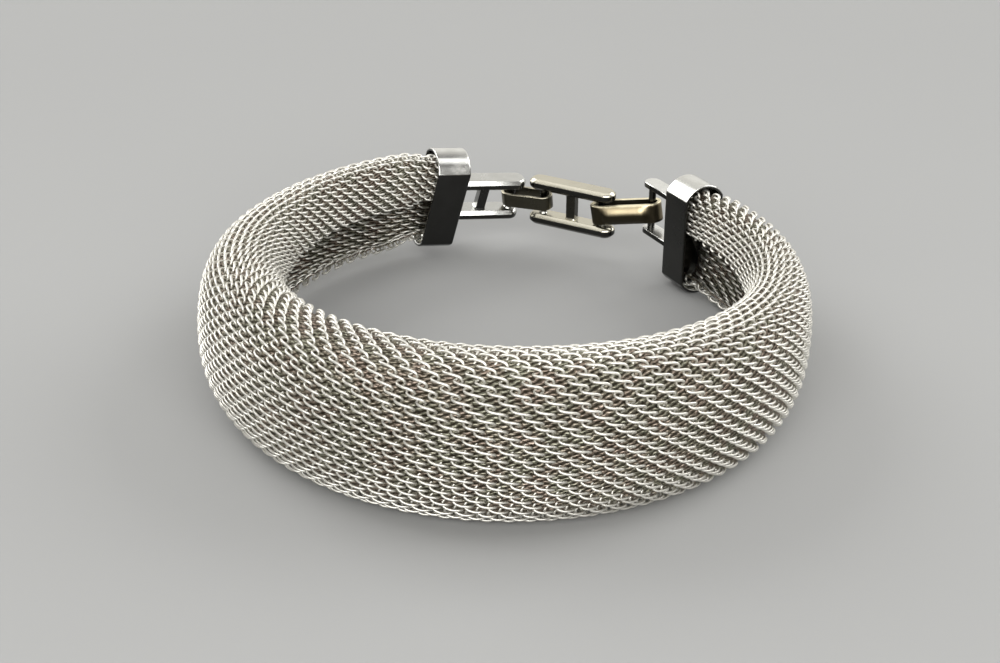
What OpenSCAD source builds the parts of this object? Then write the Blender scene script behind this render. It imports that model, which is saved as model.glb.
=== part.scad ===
// Woven wire bracelet lying on its edge, closed at the back by a ladder clasp.
// The ring's middle is over the origin, the clasp is towards +Y and the base is at Z = 0.

/* [Ring] */
// Middle of the ring to the middle of the band, at the sides
ring_half_w = 28.9; // [27:0.1:32]
// The same, at the front
ring_half_front = 29.9; // [27:0.1:33]
// The same, at the back
ring_half_back = 29.2; // [27:0.1:32]
// Angle round the ring where the band enters the left cap
left_mouth = 111.5; // [109:0.5:113]
// Angle round the ring where the band enters the right cap
right_mouth = 36.5; // [34:0.1:39]
// Turn of the right cap from the ring's own line, towards the wrist
right_turn = -8; // [-12:1:0]

/* [Woven band] */
// Height of the band at the front
band_h = 17.5; // [15:0.1:20]
// Bulge of the band outwards and inwards from its middle line
band_bulge = 4.9; // [3.5:0.1:5.5]
// Thickness of the woven wire
weave_t = 1.1; // [0.9:0.05:1.4]
// Squareness of the rolled section, 2 for an ellipse
roll_power = 2.45; // [2:0.01:3]
// Angle at which the upper edge of the roll ends, 180 at half height inside
upper_lip = 175; // [150:1:178]
// Angle at which the lower edge of the roll ends, 90 at the base
lower_lip = 124; // [100:1:140]
// Height of the band where it enters a cap
mouth_h = 12.9; // [12:0.1:13]
// Bulge of the band where it enters a cap
mouth_bulge = 2.15; // [1.8:0.05:2.2]
// Share of the band's length over which it grows from a cap to full height
taper_h = 0.47; // [0.3:0.01:0.5]
// Share of the band's length over which it grows from a cap to full bulge
taper_bulge = 0.33; // [0.2:0.01:0.5]
// Extra height of the band just outside the left cap
left_flare = 1.4; // [1:0.1:1.5]
// The same, outside the right cap
right_flare = 0.8; // [0.5:0.1:0.9]
// Extra bulge of the band just outside a cap
flare_bulge = 0.4; // [0.2:0.1:0.6]
// Length of band held inside each cap
tuck = 2; // [1:0.1:2.4]

/* [End caps] */
// Height of a cap
cap_h = 14; // [13.9:0.1:15]
// Thickness of a cap from the wrist side to the outside
cap_t = 5.4; // [5.3:0.1:6]
// Length of a cap along the band
cap_len = 4.3; // [4:0.1:5]
// Radius of the arched top and base of a cap
cap_dome_r = 3.1; // [2.9:0.05:4]
// Wall round a cap's mouth
cap_wall = 0.4; // [0.3:0.05:0.5]
// Depth of the pocket that holds the band
pocket_depth = 2.6; // [2.5:0.1:3]
// Lean of the left cap towards the wrist at its top, about the band's run
left_roll = 17; // [10:1:20]
// Dip of the left cap towards the clasp
left_dip = 8; // [0:1:10]
// Height of the middle of the left cap's mouth
left_mouth_z = 8.4; // [8:0.1:8.5]

/* [Clasp] */
// Height of a ladder link over both rails
ladder_h = 6.1; // [6:0.1:6.4]
// Height of one rail
rail_h = 1.4; // [1.2:0.05:1.45]
// Depth of a rail from the wrist side to the outside
rail_t = 2.6; // [2.3:0.1:2.7]
// Distance from one rung to the next
rung_gap = 4.1; // [3.9:0.1:4.2]
// Diameter of the round rungs at the ends of a link
rung_d = 0.9; // [0.8:0.05:1]
// Width of the flat rung in the middle of a link
mid_rung_w = 1.2; // [1:0.1:1.4]
// Length of rail past an end rung
rail_over = 1.8; // [1.5:0.1:1.9]
// The same on the ladder of the left cap
left_rail_over = 1.3; // [1.2:0.1:1.4]
// Distance from the left cap to its first rung
first_rung = 3.5; // [3.1:0.1:3.6]
// Height of the left cap's ladder over the middle of the cap
ladder_rise = 0.1; // [0:0.1:1]
// Share of the way from the ladder on the left cap to the pin, at the link's middle
link_share = 0.45; // [0.44:0.01:0.46]
// Height of the loose link over the line of the clasp
link_rise = -0.4; // [-0.5:0.1:-0.2]
// Sag of the loose link towards the wrist
link_sag = 0.3; // [0:0.1:0.6]
// Turn of the loose link from the line of the clasp
link_turn = -6; // [-8:1:2]
// Height of the connector strip
connector_h = 1.9; // [1.7:0.1:2]
// Thickness of the connector strip
connector_t = 0.35; // [0.3:0.05:0.4]
// Height of the fold-over clip
clip_h = 2.5; // [2.3:0.1:2.7]
// Thickness of the clip's strip
clip_t = 0.45; // [0.35:0.05:0.5]
// Room between a strip and the rung or pin inside it
strip_room = 0.39; // [0.38:0.01:0.42]
// Thickness of the raised wrist side of the clip
clip_crown = 0.6; // [0.4:0.05:0.8]
// Drop of the clip's right end below the middle of the hinge pin
clip_drop = 0.5; // [0:0.1:0.7]
// Diameter of the hinge pin
pin_d = 0.9; // [0.8:0.05:1]
// Distance from the right cap to the hinge pin
pin_reach = 4.2; // [3.8:0.1:4.3]
// Middle of one lug to the middle of the other
lug_gap = 6.1; // [5.6:0.1:6.4]
// Height of the lugs' middle over the middle of the right cap
lug_rise = 1.5; // [1:0.1:1.6]
// Thickness of a lug
lug_t = 0.7; // [0.6:0.05:0.9]
// Width of a lug
lug_w = 2.1; // [2:0.1:2.6]

/* [Hidden] */
$fn = 48;

// Stations along the band and points across its sheet, on each of its two faces
stations = 64;
roll_points = 20;
// Overlap of joined metal and overrun of cuts
bite = 0.2;
cut_over = 1;
// Play of the pin in the holes of the lugs
pin_play = 0.03;
pocket_t = cap_t - 2 * cap_wall;
pocket_h = cap_h - 2 * cap_wall;
rail_z = (ladder_h - rail_h) / 2;
left_rung = first_rung + rung_gap;
right_cap_z = cap_h / 2;
pin_z = right_cap_z + lug_rise;
// Share of the left cap's lean that the connector takes
connector_lean = 0.6;
// The lugs stand flush with the wrist side of the right cap
lug_side = (cap_t - lug_w) / 2;
// Shares of the band's length over which its flare outside a cap rises, and dies out again
flare_rise = 0.03;
flare_fade = 0.2;
// Share of the band's length over which the right cap's turn dies out
turn_share = 0.12;

// Rolled section: a squared ellipse, point by angle from the outside round over the top
function signed_pow(v) = sign(v) * pow(abs(v), 2 / roll_power);
function roll_point(a, bulge, half_h) = [bulge * signed_pow(cos(a)), half_h * signed_pow(sin(a))];
function lip_angle(i) = -lower_lip + (upper_lip + lower_lip) * i / (roll_points - 1);
// Loop round the sheet: its outer face from the lower lip to the upper, then its inner face back
function roll_loop(bulge, h) = concat(
    [for (i = [0 : roll_points - 1]) roll_point(lip_angle(i), bulge, h / 2)],
    [for (i = [roll_points - 1 : -1 : 0]) roll_point(lip_angle(i), bulge - weave_t, h / 2 - weave_t)]);

// The ring's middle line is two half ovals, and its local X runs clockwise, from band to left cap
function ring_half(a) = sin(a) < 0 ? ring_half_front : ring_half_back;
function on_ring(a) = [ring_half_w * cos(a), ring_half(a) * sin(a)];
function ring_yaw(a) = atan2(-ring_half(a) * cos(a), ring_half_w * sin(a));
function along(yaw) = [cos(yaw), sin(yaw)];

// Axes of a piece that is rolled about X, dipped about Y and then turned about Z
function axis_x(roll, dip, yaw) = [cos(yaw) * cos(dip), sin(yaw) * cos(dip), -sin(dip)];
function axis_y(roll, dip, yaw) = [
    cos(yaw) * sin(dip) * sin(roll) - sin(yaw) * cos(roll),
    sin(yaw) * sin(dip) * sin(roll) + cos(yaw) * cos(roll),
    cos(dip) * sin(roll)];
function axis_z(roll, dip, yaw) = cross(axis_x(roll, dip, yaw), axis_y(roll, dip, yaw));

function ease(v) = let (c = min(1, max(0, v))) c * c * (3 - 2 * c);
function band_angle(u) = left_mouth + (360 + right_mouth - left_mouth) * u;
// Growth of the band from either cap, and the left cap's lean dying out over the left taper
function grown(u, share) = min(ease(u / share), ease((1 - u) / share));
function flare(u) = ease(u / flare_rise) * (1 - ease((u - flare_rise) / flare_fade));
function height_at(u) = mouth_h + (band_h - mouth_h) * grown(u, taper_h)
    + left_flare * flare(u) + right_flare * flare(1 - u);
function bulge_at(u) = mouth_bulge + (band_bulge - mouth_bulge) * grown(u, taper_bulge)
    + flare_bulge * (flare(u) + flare(1 - u));
function lean_at(u) = 1 - ease(u / taper_h);
function middle_z(u) = u < 0.5
    ? left_mouth_z + (band_h / 2 - left_mouth_z) * ease(u / taper_h)
    : right_cap_z + (band_h / 2 - right_cap_z) * ease((1 - u) / taper_h);

// One section of the band: share of its length, and how far it is moved along the local X
function band_section(u, shift) =
    let (a = band_angle(u), roll = left_roll * lean_at(u), dip = left_dip * lean_at(u),
        yaw = ring_yaw(a) + right_turn * (1 - ease((1 - u) / turn_share)),
        ax = axis_x(roll, dip, yaw), ay = axis_y(roll, dip, yaw), az = axis_z(roll, dip, yaw),
        p = on_ring(a), middle = [p.x, p.y, middle_z(u)] + shift * ax)
    [for (q = roll_loop(bulge_at(u), height_at(u))) middle + q.x * ay + q.y * az];

band_sections = concat(
    [band_section(0, tuck)],
    [for (i = [0 : stations - 1]) band_section(i / (stations - 1), 0)],
    [band_section(1, -tuck)]);

// Ends of the clasp's chain: the left ladder's end rung, the hinge pin, and the link between them
left_yaw = ring_yaw(left_mouth);
right_yaw = ring_yaw(right_mouth) + right_turn + 180;
left_axis = axis_x(left_roll, left_dip, left_yaw);
left_out = axis_y(left_roll, left_dip, left_yaw);
left_up = axis_z(left_roll, left_dip, left_yaw);
left_mouth_p = [on_ring(left_mouth).x, on_ring(left_mouth).y, left_mouth_z];
left_rung_p = left_mouth_p + (cap_len + left_rung) * left_axis + ladder_rise * left_up;
right_mouth_p = [on_ring(right_mouth).x, on_ring(right_mouth).y, right_cap_z];
pin_xy = on_ring(right_mouth) + (cap_len + pin_reach) * along(right_yaw) + lug_side * along(right_yaw + 90);
clasp_run = pin_xy - [left_rung_p.x, left_rung_p.y];
clasp_yaw = atan2(clasp_run.y, clasp_run.x);
link_yaw = clasp_yaw + link_turn;
link_xy = [left_rung_p.x, left_rung_p.y] + link_share * clasp_run + link_sag * along(clasp_yaw - 90);
clip_end_z = pin_z - clip_drop;
link_z = left_rung_p.z + (clip_end_z - left_rung_p.z) * link_share + link_rise;
link_left_xy = link_xy - rung_gap * along(link_yaw);
link_right_xy = link_xy + rung_gap * along(link_yaw);
connector_run = link_left_xy - [left_rung_p.x, left_rung_p.y];
connector_yaw = atan2(connector_run.y, connector_run.x);
connector_dip = -atan2(link_z - left_rung_p.z, norm(connector_run));
clip_run = pin_xy - link_right_xy;
clip_yaw = atan2(clip_run.y, clip_run.x);
clip_dip = -atan2(clip_end_z - link_z, norm(clip_run));

// Ring moved so that the middle of its outline is over the origin
rail_r = rail_t / 2;
rail_tip = left_rung_p + (left_rail_over - rail_r) * left_axis - ladder_h / 2 * left_up;
back_reach = rail_tip.y + rail_r * norm([left_axis.y, left_out.y]);
band_x = [for (s = band_sections) for (p = s) p.x];
band_y = [for (s = band_sections) for (p = s) p.y];
centre_shift = [-(min(band_x) + max(band_x)) / 2, -(min(band_y) + back_reach) / 2, 0];

// Outline of a cap across the band: flat sides under an arched top and base
module cap_outline(t, h, dome_r) {
    intersection() {
        square([t, h], center = true);
        union() {
            square([t, h - 2 * dome_r], center = true);
            for (s = [-1, 1]) translate([0, s * (h / 2 - dome_r)]) circle(r = dome_r);
        }
    }
}

// Bar along X from start to end with the outline of its child
module along_x(start, end) {
    translate([start, 0, 0]) rotate([90, 0, 90]) linear_extrude(end - start) children();
}

// Cap from its mouth at X = 0, with the pocket that holds the band
module cap_body() {
    difference() {
        along_x(0, cap_len) cap_outline(cap_t, cap_h, cap_dome_r);
        along_x(-cut_over, pocket_depth) cap_outline(pocket_t, pocket_h, cap_dome_r - cap_wall);
    }
}

// Rail along X between two ends, with round corners at an end that is free
module rail(start, end, round_start) {
    square_start = round_start ? start + rail_r : start;
    linear_extrude(rail_h, center = true) union() {
        translate([square_start, -rail_r]) square([end - rail_r - square_start, rail_t]);
        translate([end - rail_r, 0]) circle(r = rail_r);
        if (round_start) translate([square_start, 0]) circle(r = rail_r);
    }
}

module rails(start, end, round_start) {
    for (s = [-1, 1]) translate([0, 0, s * rail_z]) rail(start, end, round_start);
}

module round_rung(x) {
    translate([x, 0, 0]) cylinder(d = rung_d, h = ladder_h - rail_h, center = true);
}

module flat_rung(x) {
    translate([x, 0, 0]) cube([mid_rung_w, mid_rung_w, ladder_h - rail_h], center = true);
}

// Flat strip folded round two bars, at X = 0 and X = run
module strip_loop(run, bar_d, strip_t, h) {
    inner_r = bar_d / 2 + strip_room;
    linear_extrude(h, center = true) difference() {
        slot_outline(run, inner_r + strip_t);
        slot_outline(run, inner_r);
    }
}

module slot_outline(run, r) {
    translate([0, -r]) square([run, 2 * r]);
    for (x = [0, run]) translate([x, 0]) circle(r = r);
}

module mesh_band() {
    ring = 2 * roll_points;
    count = len(band_sections);
    last = (count - 1) * ring;
    color("silver") translate(centre_shift) polyhedron(
        points = [for (s = band_sections) for (p = s) p],
        faces = concat(
            [for (i = [0 : count - 2]) for (j = [0 : ring - 1])
                let (k = (j + 1) % ring)
                [i * ring + j, i * ring + k, (i + 1) * ring + k, (i + 1) * ring + j]],
            [for (j = [0 : roll_points - 2]) [ring - 1 - j, ring - 2 - j, j + 1, j]],
            [for (j = [0 : roll_points - 2])
                [last + j, last + j + 1, last + ring - 2 - j, last + ring - 1 - j]]));
}

// Left cap with the ladder that is soldered to it
module end_cap_left() {
    color("gainsboro") translate(centre_shift + left_mouth_p) rotate([left_roll, left_dip, left_yaw]) {
        cap_body();
        translate([cap_len, 0, ladder_rise]) {
            rails(-bite, left_rung + left_rail_over, false);
            flat_rung(first_rung);
            round_rung(left_rung);
        }
    }
}

// Right cap with its two lugs
module end_cap_right() {
    color("gainsboro") translate(centre_shift + right_mouth_p) rotate([0, 0, right_yaw]) {
        cap_body();
        for (s = [-1, 1]) translate([cap_len, lug_side, lug_rise + s * lug_gap / 2]) lug();
    }
}

module lug() {
    linear_extrude(lug_t, center = true) difference() {
        union() {
            translate([-bite, -lug_w / 2]) square([pin_reach + bite, lug_w]);
            translate([pin_reach, 0]) circle(d = lug_w);
        }
        translate([pin_reach, 0]) circle(d = pin_d + 2 * pin_play);
    }
}

module connector_loop() {
    color("gray") translate(centre_shift + left_rung_p)
        rotate([connector_lean * left_roll, connector_dip, connector_yaw])
            strip_loop(norm([connector_run.x, connector_run.y, link_z - left_rung_p.z]), rung_d,
                connector_t, connector_h);
}

// Loose ladder link between the connector and the clip
module ladder_link() {
    color("silver") translate(centre_shift + [link_xy.x, link_xy.y, link_z]) rotate([0, 0, link_yaw]) {
        rails(-rung_gap - rail_over, rung_gap + rail_over, true);
        flat_rung(0);
        for (s = [-1, 1]) round_rung(s * rung_gap);
    }
}

// Fold-over clip round the link's last rung and the hinge pin, with a raised wrist side
module clasp_clip() {
    run = norm([clip_run.x, clip_run.y, clip_end_z - link_z]);
    outer_r = rung_d / 2 + strip_room + clip_t;
    crown_r = (clip_h * clip_h / 4 + clip_crown * clip_crown) / (2 * clip_crown);
    color("darkkhaki") translate(centre_shift + [link_right_xy.x, link_right_xy.y, link_z])
        rotate([0, clip_dip, clip_yaw]) {
            strip_loop(run, rung_d, clip_t, clip_h);
            intersection() {
                translate([0, -outer_r - clip_crown + crown_r, 0]) rotate([0, 90, 0])
                    cylinder(r = crown_r, h = run);
                translate([0, -outer_r - clip_crown, -clip_h / 2]) cube([run, clip_crown + bite, clip_h]);
            }
        }
}

module hinge_pin() {
    color("gray") translate(centre_shift + [pin_xy.x, pin_xy.y, pin_z])
        cylinder(d = pin_d, h = lug_gap + lug_t, center = true);
}

mesh_band();
end_cap_left();
end_cap_right();
connector_loop();
ladder_link();
clasp_clip();
hinge_pin();
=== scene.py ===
"""Woven wire bracelet with a ladder clasp, dressed round its frame of solids."""

import math

import bmesh
import bpy
import numpy as np
from bpy.props import FloatProperty, FloatVectorProperty, IntProperty, PointerProperty
from mathutils import Matrix, Vector


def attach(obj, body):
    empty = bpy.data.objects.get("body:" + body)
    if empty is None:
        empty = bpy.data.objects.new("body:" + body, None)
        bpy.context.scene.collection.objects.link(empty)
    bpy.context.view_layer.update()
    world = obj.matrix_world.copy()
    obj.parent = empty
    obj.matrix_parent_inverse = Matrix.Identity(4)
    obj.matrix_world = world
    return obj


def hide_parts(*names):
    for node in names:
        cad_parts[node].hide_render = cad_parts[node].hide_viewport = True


bl_info = {
    "name": "Woven Wire Bracelet",
    "version": (1, 0, 0),
    "blender": (4, 5, 0),
    "location": "3D View > Sidebar > Bracelet",
    "description": "Builds a woven wire bracelet with end caps and a ladder clasp",
    "category": "Add Mesh",
}

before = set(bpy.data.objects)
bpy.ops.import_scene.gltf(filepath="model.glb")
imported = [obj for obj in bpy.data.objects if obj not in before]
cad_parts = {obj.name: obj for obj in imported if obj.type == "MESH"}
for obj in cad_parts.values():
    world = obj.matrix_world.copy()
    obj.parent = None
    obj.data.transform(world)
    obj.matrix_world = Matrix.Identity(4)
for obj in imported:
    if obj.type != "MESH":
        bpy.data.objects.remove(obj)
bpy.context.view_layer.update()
MM = 0.001
# Points of a skin that lie closer than this, in metres, are one point
SAME_POINT = 1e-8
BODY = "root"

# Sizes in mm and degrees are those of the frame's solids, from here to the weave's own counts

# Middle of the ring in the frame, and half its size sideways, to the front and to the back
SHIFT = np.array((0.645205, 0.674108, 0.0))
RING_HALF_W, RING_HALF_FRONT, RING_HALF_BACK = 28.9, 29.9, 29.2
# Where the band's two mouths lie on the ring, and how the right end is turned off the ring's line
LEFT_MOUTH, RIGHT_MOUTH, RIGHT_TURN, TURN_SHARE = 111.5, 36.5, -8, 0.12
# Height and bulge of the rolled band at the front and at its mouths, and the lengths of the tapers
BAND_H, BAND_BULGE, MOUTH_H, MOUTH_BULGE = 17.5, 4.9, 12.9, 2.15
TAPER_H, TAPER_BULGE = 0.47, 0.33
# Flare of the band just outside each cap, with the shares of the band where it rises and fades
LEFT_FLARE, RIGHT_FLARE, FLARE_BULGE, FLARE_RISE, FLARE_FADE = 1.4, 0.8, 0.4, 0.03, 0.2
# The woven sheet, the roundness of its roll, the angles of its lips and its tuck into the caps
WEAVE_T, ROLL_POWER, UPPER_LIP, LOWER_LIP, TUCK = 1.1, 2.45, 175, -124, 2
# A cap's outside, the radius of its arched top and base, its wall and its pocket
CAP_H, CAP_T, CAP_LEN, CAP_DOME_R, CAP_WALL, POCKET_DEPTH = 14, 5.4, 4.3, 3.1, 0.4, 2.6
# Lean of the left cap to the wrist, its dip to the clasp, and the height of its mouth's middle
LEFT_ROLL, LEFT_DIP, LEFT_MOUTH_Z = 17, 8, 8.4
# A ladder's height over both rails, the section of a rail, and the step and sizes of the rungs
LADDER_H, RAIL_H, RAIL_T, RUNG_GAP, RUNG_D, MID_RUNG_W = 6.1, 1.4, 2.6, 4.1, 0.9, 1.2
# Length of rail past an end rung, and on the left cap how far out the first rung is, and how far
# the ladder's middle is above the cap's
RAIL_OVER, LEFT_RAIL_OVER, FIRST_RUNG, LADDER_RISE = 1.8, 1.3, 3.5, 0.1
# Where the loose link hangs between the left ladder's last rung and the pin
LINK_SHARE, LINK_RISE, LINK_SAG, LINK_TURN = 0.45, -0.4, 0.3, -6
# The folded strips: height and thickness, the share of the left cap's lean that the connector
# takes, the clip's crown and the drop of its right end, and the room round the bars inside
CONNECTOR_H, CONNECTOR_T, CONNECTOR_LEAN = 1.9, 0.35, 0.6
CLIP_H, CLIP_T, CLIP_CROWN, CLIP_DROP, STRIP_ROOM = 2.5, 0.45, 0.6, 0.5, 0.39
# The pin and its distance from the right cap, and the lugs: from one to the other, their height
# above the cap's middle, their thickness and width
PIN_D, PIN_REACH, LUG_GAP, LUG_RISE, LUG_T, LUG_W = 0.9, 4.2, 6.1, 1.5, 0.7, 2.1
# How far a rail or lug is let into its cap, and how far the pin stops inside the lugs' outer faces
BITE, PIN_SHY = 0.2, 0.2
RIGHT_CAP_Z = CAP_H / 2
LUG_SIDE = (CAP_T - LUG_W) / 2
PIN_Z = RIGHT_CAP_Z + LUG_RISE
RAIL_Z = (LADDER_H - RAIL_H) / 2
LEFT_RUNG = FIRST_RUNG + RUNG_GAP

# Steps of the surface that the wires follow, of the dark inner layer of painted shade, and of one
# section of both
GUIDE_ROWS, GUIDE_COLUMNS = 320, 96
CORE_ROWS, CORE_COLUMNS = 240, 60
SECTION_POINTS = 721
# Where across the sheet the rows of turns run straight along it
ROW_ANCHOR = 0.7
# Room beside the first and the last spiral, in steps from one spiral to the next
END_ROOM = 0.35
# Share of the sheet's width that the spirals leave free at either lip
LIP_ROOM = 0.006
# How fast the weave's unevenness changes along the band and across it, how far it turns and sways
# a spiral, and how much of it shows in a wire's tone
DRIFT_ALONG, DRIFT_ACROSS, DRIFT_TURN, SWAY = 0.11, 3.0, 6.0, 1.4
TONE_JUMP, TONE_DRIFT = 0.3, 0.6
# Rows of ridges on the dark inner layer of painted shade, to each outer wire
INNER_ROWS = 2.9
# Settings that the weave's node tree takes, by the names of its inputs
SPIRAL_INPUTS = ("Turns", "Segments per Turn", "Half Width", "Half Thickness", "Wire Radius",
                 "Wire Sides", "Squareness", "Evenness", "End Narrowing", "End Hooks",
                 "Irregularity", "Seed")

# The middle point of a strip's bevel stands in by this share of the bevel
BEVEL_SOFT = 0.3
# Flare of a rung where the solder runs up to the rail
ROUND_FLARE, FLAT_FLARE = 0.16, 0.12
# Rounding of a cap's rim, and of the pin's ends
RIM_EDGE, PIN_EDGE = 0.12, 0.1
# Share of a strip's run over which its crown rises at either end, and the steps of a straight run
CROWN_RISE, STRIP_STEPS = 0.16, 14

# Softboxes: name, setting of the power, width and length, and place. All face the frame's origin
SOFTBOXES = (("overhead_softbox", "overhead_power", (1.4, 0.56), (0, -0.07, 1.0)),
             ("front_softbox", "front_power", (1.5, 0.81), (0, -0.866, 0.5)),
             ("left_softbox", "side_power", (0.7, 0.7), (-0.67, 0.42, 0.61)),
             ("right_softbox", "side_power", (0.7, 0.7), (0.78, 0.25, 0.57)))
ROOM_COLOUR = (1.0, 0.985, 0.95, 1)
# The camera of the photograph: its place, how far it is tilted up from looking straight down, and
# the width of its sensor
EYE_PLACE = (-0.000394, -0.146821, 0.08149)
EYE_TILT = 62.2
SENSOR_WIDTH = 36
CLIP_RANGE = (0.005, 20)


# Ring and places

def cos(a):
    return math.cos(math.radians(a))


def sin(a):
    return math.sin(math.radians(a))


def angle_of(y, x):
    return math.degrees(math.atan2(y, x))


def along(yaw):
    return np.array((cos(yaw), sin(yaw)))


def ease(v):
    c = min(1.0, max(0.0, v))
    return c * c * (3 - 2 * c)


def ring_half(a):
    return RING_HALF_FRONT if sin(a) < 0 else RING_HALF_BACK


def on_ring(a):
    return np.array((RING_HALF_W * cos(a), ring_half(a) * sin(a)))


def ring_yaw(a):
    return angle_of(-ring_half(a) * cos(a), RING_HALF_W * sin(a))


def turned(roll, dip, yaw):
    """Axes of a piece that is rolled about X, dipped about Y and then turned about Z."""
    turn = Matrix.Rotation(math.radians(yaw), 3, "Z")
    turn @= Matrix.Rotation(math.radians(dip), 3, "Y")
    turn @= Matrix.Rotation(math.radians(roll), 3, "X")
    return turn


def placed(origin, roll=0.0, dip=0.0, yaw=0.0):
    """Place of a piece in the frame, from mm on its own axes to metres."""
    corner = Vector([float(c) for c in (SHIFT + origin)]) * MM
    return Matrix.Translation(corner) @ turned(roll, dip, yaw).to_4x4() @ Matrix.Scale(MM, 4)


def strip_place(start, end, roll=0.0):
    """Place of a strip that is folded round two bars, and its run from one to the other."""
    run = end - start
    flat = np.linalg.norm(run[:2])
    place = placed(start, roll, -angle_of(run[2], flat), angle_of(run[1], run[0]))
    return place, float(np.hypot(flat, run[2]))


def clasp_places():
    """Places of the clasp's pieces, worked out from the caps inwards."""
    left_yaw = ring_yaw(LEFT_MOUTH)
    right_yaw = ring_yaw(RIGHT_MOUTH) + RIGHT_TURN + 180
    axes = np.array(turned(LEFT_ROLL, LEFT_DIP, left_yaw))
    left_mouth = np.append(on_ring(LEFT_MOUTH), LEFT_MOUTH_Z)
    right_mouth = np.append(on_ring(RIGHT_MOUTH), RIGHT_CAP_Z)
    rung = left_mouth + (CAP_LEN + LEFT_RUNG) * axes[:, 0] + LADDER_RISE * axes[:, 2]
    pin = right_mouth[:2] + (CAP_LEN + PIN_REACH) * along(right_yaw)
    pin = pin + LUG_SIDE * along(right_yaw + 90)
    run = pin - rung[:2]
    yaw = angle_of(run[1], run[0])
    link_yaw = yaw + LINK_TURN
    link = rung[:2] + LINK_SHARE * run + LINK_SAG * along(yaw - 90)
    clip_end_z = PIN_Z - CLIP_DROP
    link_z = rung[2] + (clip_end_z - rung[2]) * LINK_SHARE + LINK_RISE
    link_left = np.append(link - RUNG_GAP * along(link_yaw), link_z)
    link_right = np.append(link + RUNG_GAP * along(link_yaw), link_z)
    return {
        "left_cap": placed(left_mouth, LEFT_ROLL, LEFT_DIP, left_yaw),
        "right_cap": placed(right_mouth, yaw=right_yaw),
        "link": placed(np.append(link, link_z), yaw=link_yaw),
        "connector": strip_place(rung, link_left, CONNECTOR_LEAN * LEFT_ROLL),
        "clip": strip_place(link_right, np.append(pin, clip_end_z)),
        "pin": placed(np.append(pin, PIN_Z)),
    }


# Node trees

class Tree:
    """Adds nodes to a tree: an input is a value, or an output socket to join to it."""

    def __init__(self, tree):
        self.tree = tree

    def fill(self, node, inputs):
        for key, value in inputs.items():
            if isinstance(value, bpy.types.NodeSocket):
                self.tree.links.new(value, node.inputs[key])
            else:
                node.inputs[key].default_value = value

    def add(self, kind, inputs=None, **settings):
        node = self.tree.nodes.new(kind)
        for name, value in settings.items():
            setattr(node, name, value)
        self.fill(node, inputs or {})
        return node

    def get(self, kind, inputs=None, **settings):
        """First output of a new node."""
        return self.add(kind, inputs, **settings).outputs[0]

    def run(self, name, inputs):
        """Outputs of a shader node group."""
        return self.add("ShaderNodeGroup", inputs, node_tree=bpy.data.node_groups[name]).outputs

    def math(self, operation, a, b=0.0, c=0.0, clamp=False):
        return self.get("ShaderNodeMath", {0: a, 1: b, 2: c}, operation=operation, use_clamp=clamp)

    def plus(self, a, b, clamp=False):
        return self.math("ADD", a, b, clamp=clamp)

    def scaled(self, value, by, plus, clamp=False):
        return self.math("MULTIPLY_ADD", value, by, plus, clamp)

    def times(self, product, *others):
        for other in others:
            product = self.math("MULTIPLY", product, other)
        return product

    def remap(self, value, low, high, new_low=0.0, new_high=1.0, kind="LINEAR"):
        return self.get("ShaderNodeMapRange", {"Value": value, "From Min": low, "From Max": high,
                                               "To Min": new_low, "To Max": new_high},
                        interpolation_type=kind)

    def mix(self, share, a, b, blend="MIX"):
        return self.add("ShaderNodeMix", {0: share, 6: a, 7: b}, data_type="RGBA",
                        blend_type=blend).outputs[2]

    def noise(self, vector, scale, detail=2.0, roughness=0.5):
        node = self.add("ShaderNodeTexNoise", {"Vector": vector, "Scale": scale, "Detail": detail,
                                               "Roughness": roughness})
        return node.outputs["Fac"]

    def attribute(self, name, output="Fac"):
        return self.add("ShaderNodeAttribute", attribute_name=name).outputs[output]

    def part(self, vector, axis):
        return self.add("ShaderNodeSeparateXYZ", {"Vector": vector}).outputs[axis]

    def vector(self, x, y, z=0.0):
        return self.get("ShaderNodeCombineXYZ", {"X": x, "Y": y, "Z": z})


# Kinds of group sockets, by the type of a default
SOCKETS = {int: "Int", float: "Float", tuple: "Color"}


def group(name, inputs, outputs, kind="ShaderNodeTree"):
    """A new node group. Each input is given its default, or the kind of its socket."""
    tree = bpy.data.node_groups.new(name, kind)

    def socket(label, way, what):
        return tree.interface.new_socket(name=label, in_out=way, socket_type=f"NodeSocket{what}")

    for label, default in inputs.items():
        if isinstance(default, str):
            socket(label, "INPUT", default)
        else:
            socket(label, "INPUT", SOCKETS[type(default)]).default_value = default
    for label, what in outputs.items():
        socket(label, "OUTPUT", what)
    build = Tree(tree)
    return build, build.add("NodeGroupInput").outputs, build.add("NodeGroupOutput")


def rgba(tone):
    return (*tone[:3], 1.0)


# Finishes

def tarnish_and_shade_group():
    """Darkens and dulls a metal by a cloudy noise of tarnishing and by a mask, which carries
    painted shade where a finish gives one.
    """
    build, given, out = group("tarnish", {
        "Vector": "Vector", "Clean": (0.8, 0.8, 0.8, 1), "Tarnished": (0.2, 0.18, 0.15, 1),
        "Mask": 0.0, "Scale": 400.0, "Amount": 0.5, "Clean Roughness": 0.2, "Dull Roughness": 0.4},
        {"Color": "Color", "Roughness": "Float"})
    cloud = build.noise(given["Vector"], given["Scale"], detail=4.0, roughness=0.6)
    cloud = build.times(build.remap(cloud, low=0.35, high=0.7), given["Amount"])
    share = build.plus(cloud, given["Mask"], clamp=True)
    build.fill(out, {"Color": build.mix(share, given["Clean"], given["Tarnished"]),
                     "Roughness": build.remap(share, 0.0, 1.0, given["Clean Roughness"],
                                              given["Dull Roughness"])})


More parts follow.
